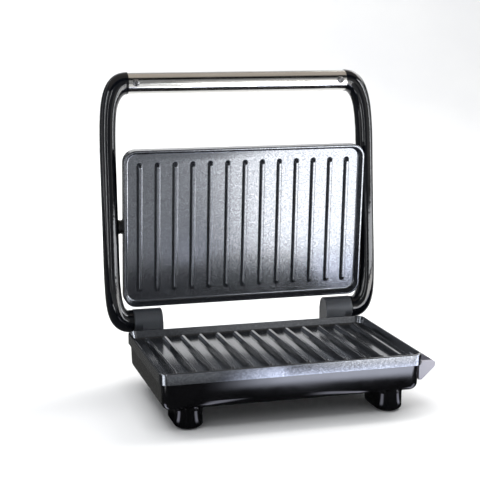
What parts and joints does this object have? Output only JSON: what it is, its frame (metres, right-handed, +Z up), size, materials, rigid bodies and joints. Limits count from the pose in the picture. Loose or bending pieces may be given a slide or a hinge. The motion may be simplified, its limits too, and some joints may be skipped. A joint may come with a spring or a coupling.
{
  "type": "panini press",
  "caption": "Panini press with ribbed non-stick plates, a floating lid carried in a tubular bail handle that swings on rear hinges, and a drip cup at the side.",
  "frame": {"origin": "on the table, at the level of the undersides of the rubber feet, under the middle of the whole object's box at rest", "axes": "+Z up, -Y towards the front edge where the user stands, +X to the user's right; drawn with the lid and handle open"},
  "size_m": [0.2704, 0.1958, 0.292],
  "materials": {
    "housing_black": "high gloss moulded black",
    "plate_coating": "die-cast aluminium under a fine speckled charcoal non-stick coat",
    "arm_black": "gloss black stove enamel on steel tube",
    "grip_steel": "satin, polished along its length",
    "hinge_plastic": "matt, fine grained",
    "bush_plastic": "satin black",
    "foot_rubber": "matt",
    "cup_plastic": "satin light grey",
    "screw_steel": "bright plated",
    "element_steel": "dull heat-tinted steel",
    "reflector_sheet": "bright sheet",
    "control_parts": "plated",
    "terminal_plastic": "plain moulded",
    "lens_red": "tinted clear",
    "lens_green": "tinted clear",
    "lamp_glass": "clear"
  },
  "bodies": {
    "base": {"base_housing": "housing_black", "base_legs": "housing_black", "foot_pads": "foot_rubber", "lower_plate": "plate_coating", "base_screws": "screw_steel", "lower_element": "element_steel", "lower_reflector": "reflector_sheet", "thermostat": "control_parts", "thermal_fuse": "control_parts", "terminal_block": "terminal_plastic", "cord_bush": "hinge_plastic", "hinge_bracket_left": "hinge_plastic", "hinge_bracket_right": "hinge_plastic", "hinge_caps": "hinge_plastic", "hinge_screws": "screw_steel"},
    "drip_cup": {"drip_cup": "cup_plastic"},
    "handle": {"handle_arm_left": "arm_black", "handle_arm_right": "arm_black", "grip_sleeve": "grip_steel", "grip_screws": "screw_steel", "hinge_plugs": "bush_plastic", "hinge_pins": "screw_steel", "hinge_washers": "screw_steel", "pivot_bushes": "bush_plastic", "pivot_pins": "screw_steel", "pivot_clips": "screw_steel"},
    "lid": {"upper_plate": "plate_coating", "lid_housing": "housing_black", "lid_studs": "screw_steel", "upper_element": "element_steel", "upper_reflector": "reflector_sheet", "upper_thermostat": "control_parts", "power_lens": "lens_red", "ready_lens": "lens_green", "indicator_lamps": "lamp_glass"}
  },
  "joints": [
    {"name": "handle_hinge", "type": "hinge", "parent": "base", "child": "handle", "pos_m": [0, 0.06592, 0.0582], "axis": [1, 0, 0], "range_deg": [0, 86]},
    {"name": "lid_tilt", "type": "hinge", "parent": "handle", "child": "lid", "pos_m": [0, 0.07392, 0.14784], "axis": [1, 0, 0], "range_deg": [-2.2, 2.2]},
    {"name": "drip_cup_slide", "type": "slide", "parent": "base", "child": "drip_cup", "axis": [1, 0, 0], "range_m": [0, 0.03]}
  ]
}
